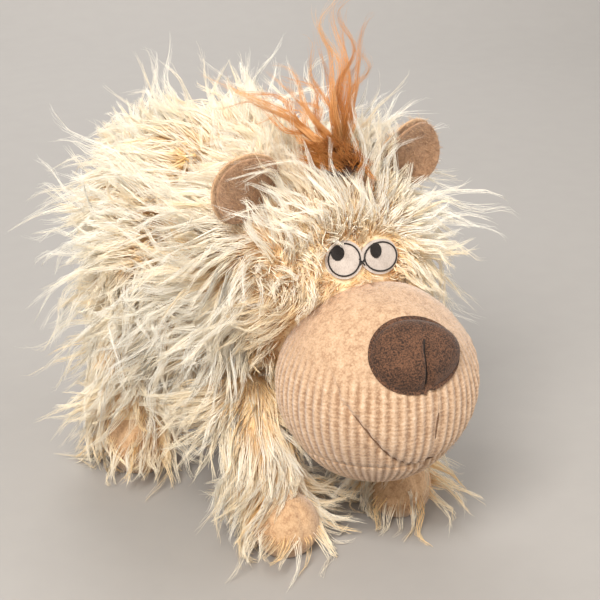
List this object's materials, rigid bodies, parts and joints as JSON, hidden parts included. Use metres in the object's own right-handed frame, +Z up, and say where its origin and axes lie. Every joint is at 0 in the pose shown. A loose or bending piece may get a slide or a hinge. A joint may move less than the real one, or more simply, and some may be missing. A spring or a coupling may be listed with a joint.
{
  "type": "plush dog",
  "caption": "Shaggy long-pile plush dog standing low on short legs, with a big ribbed round muzzle, velour nose, felt eyes and a copper tuft.",
  "frame": {"origin": "on the ground, under the middle of the toy's bounding box", "axes": "+Z up; the dog looks along -Y, so +Y points to its tail; +X is the dog's own left"},
  "size_m": [0.2289, 0.3104, 0.3027],
  "materials": {
    "long_pile_cream": "matte",
    "chenille_beige": "matte",
    "chenille_tan": "matte",
    "velour_brown": "matte",
    "felt_white": "matte",
    "tuft_hair": "satin",
    "thread_black": "satin",
    "thread_cream": "satin",
    "stuffing": "matte"
  },
  "bodies": {
    "torso": {"torso_stuffing": "stuffing", "torso_coat_left": "long_pile_cream", "torso_coat_right": "long_pile_cream", "belly_panel": "long_pile_cream", "closing_stitches": "thread_cream", "torso_long_locks": "long_pile_cream"},
    "neck": {"neck_stuffing": "stuffing"},
    "head": {"head_stuffing": "stuffing", "head_coat_left": "long_pile_cream", "head_coat_right": "long_pile_cream", "head_long_locks": "long_pile_cream", "muzzle_stuffing": "stuffing", "muzzle_cover_left": "chenille_beige", "muzzle_cover_right": "chenille_beige", "chin_panel": "chenille_beige", "mouth_stitches": "thread_black", "nose_cover": "velour_brown", "nose_stuffing": "stuffing", "nose_crease_stitches": "thread_black", "eye_patch": "felt_white", "eye_outline": "thread_black", "eye_bridge_stitch": "thread_black", "pupil_left": "thread_black", "pupil_right": "thread_black"},
    "tuft": {"tuft_root": "tuft_hair", "tuft_locks": "tuft_hair"},
    "tail": {"tail_coat": "long_pile_cream", "tail_stuffing": "stuffing"},
    "ear_left": {"ear_left_back_panel": "chenille_tan", "ear_left_inner_panel": "chenille_tan"},
    "ear_right": {"ear_right_back_panel": "chenille_tan", "ear_right_inner_panel": "chenille_tan"},
    "foreleg_left": {"foreleg_left_coat": "long_pile_cream", "foreleg_left_paw_cover": "chenille_tan", "foreleg_left_stuffing": "stuffing"},
    "foreleg_right": {"foreleg_right_coat": "long_pile_cream", "foreleg_right_paw_cover": "chenille_tan", "foreleg_right_stuffing": "stuffing"},
    "hindleg_left": {"hindleg_left_coat": "long_pile_cream", "hindleg_left_paw_cover": "chenille_tan", "hindleg_left_stuffing": "stuffing"},
    "hindleg_right": {"hindleg_right_coat": "long_pile_cream", "hindleg_right_paw_cover": "chenille_tan", "hindleg_right_stuffing": "stuffing"}
  },
  "joints": [
    {"name": "head_turn", "type": "hinge", "parent": "torso", "child": "neck", "pos_m": [0, -0.036, 0.146], "axis": [0, 0, 1], "range_deg": [-10, 10], "stiffness_Nm_per_rad": 0.6},
    {"name": "head_nod", "type": "hinge", "parent": "neck", "child": "head", "pos_m": [0, -0.036, 0.146], "axis": [1, 0, 0], "range_deg": [-12, 0], "stiffness_Nm_per_rad": 1},
    {"name": "ear_left_flop", "type": "hinge", "parent": "head", "child": "ear_left", "pos_m": [0.03874, -0.0515, 0.18629], "axis": [0.7381, 0.1181, -0.6643], "range_deg": [-25, 25], "stiffness_Nm_per_rad": 0.02},
    {"name": "ear_right_flop", "type": "hinge", "parent": "head", "child": "ear_right", "pos_m": [-0.03874, -0.0515, 0.18629], "axis": [0.7381, -0.1181, 0.6643], "range_deg": [-25, 25], "stiffness_Nm_per_rad": 0.02},
    {"name": "tuft_tilt", "type": "hinge", "parent": "head", "child": "tuft", "pos_m": [0, -0.0689, 0.20665], "axis": [1, 0, 0], "range_deg": [-12, 12], "stiffness_Nm_per_rad": 0.02},
    {"name": "tail_wag", "type": "hinge", "parent": "torso", "child": "tail", "pos_m": [0, 0.121, 0.15], "axis": [0, 0, 1], "range_deg": [-20, 20], "stiffness_Nm_per_rad": 0.02},
    {"name": "foreleg_left_swing", "type": "hinge", "parent": "torso", "child": "foreleg_left", "pos_m": [0.038, -0.046, 0.062], "axis": [1, 0, 0], "range_deg": [-20, 20], "stiffness_Nm_per_rad": 1.2},
    {"name": "foreleg_right_swing", "type": "hinge", "parent": "torso", "child": "foreleg_right", "pos_m": [-0.038, -0.046, 0.062], "axis": [1, 0, 0], "range_deg": [-20, 20], "stiffness_Nm_per_rad": 1.2},
    {"name": "hindleg_left_swing", "type": "hinge", "parent": "torso", "child": "hindleg_left", "pos_m": [0.05, 0.066, 0.06], "axis": [1, 0, 0], "range_deg": [-15, 20], "stiffness_Nm_per_rad": 1.2},
    {"name": "hindleg_right_swing", "type": "hinge", "parent": "torso", "child": "hindleg_right", "pos_m": [-0.05, 0.066, 0.06], "axis": [1, 0, 0], "range_deg": [-15, 20], "stiffness_Nm_per_rad": 1.2}
  ]
}
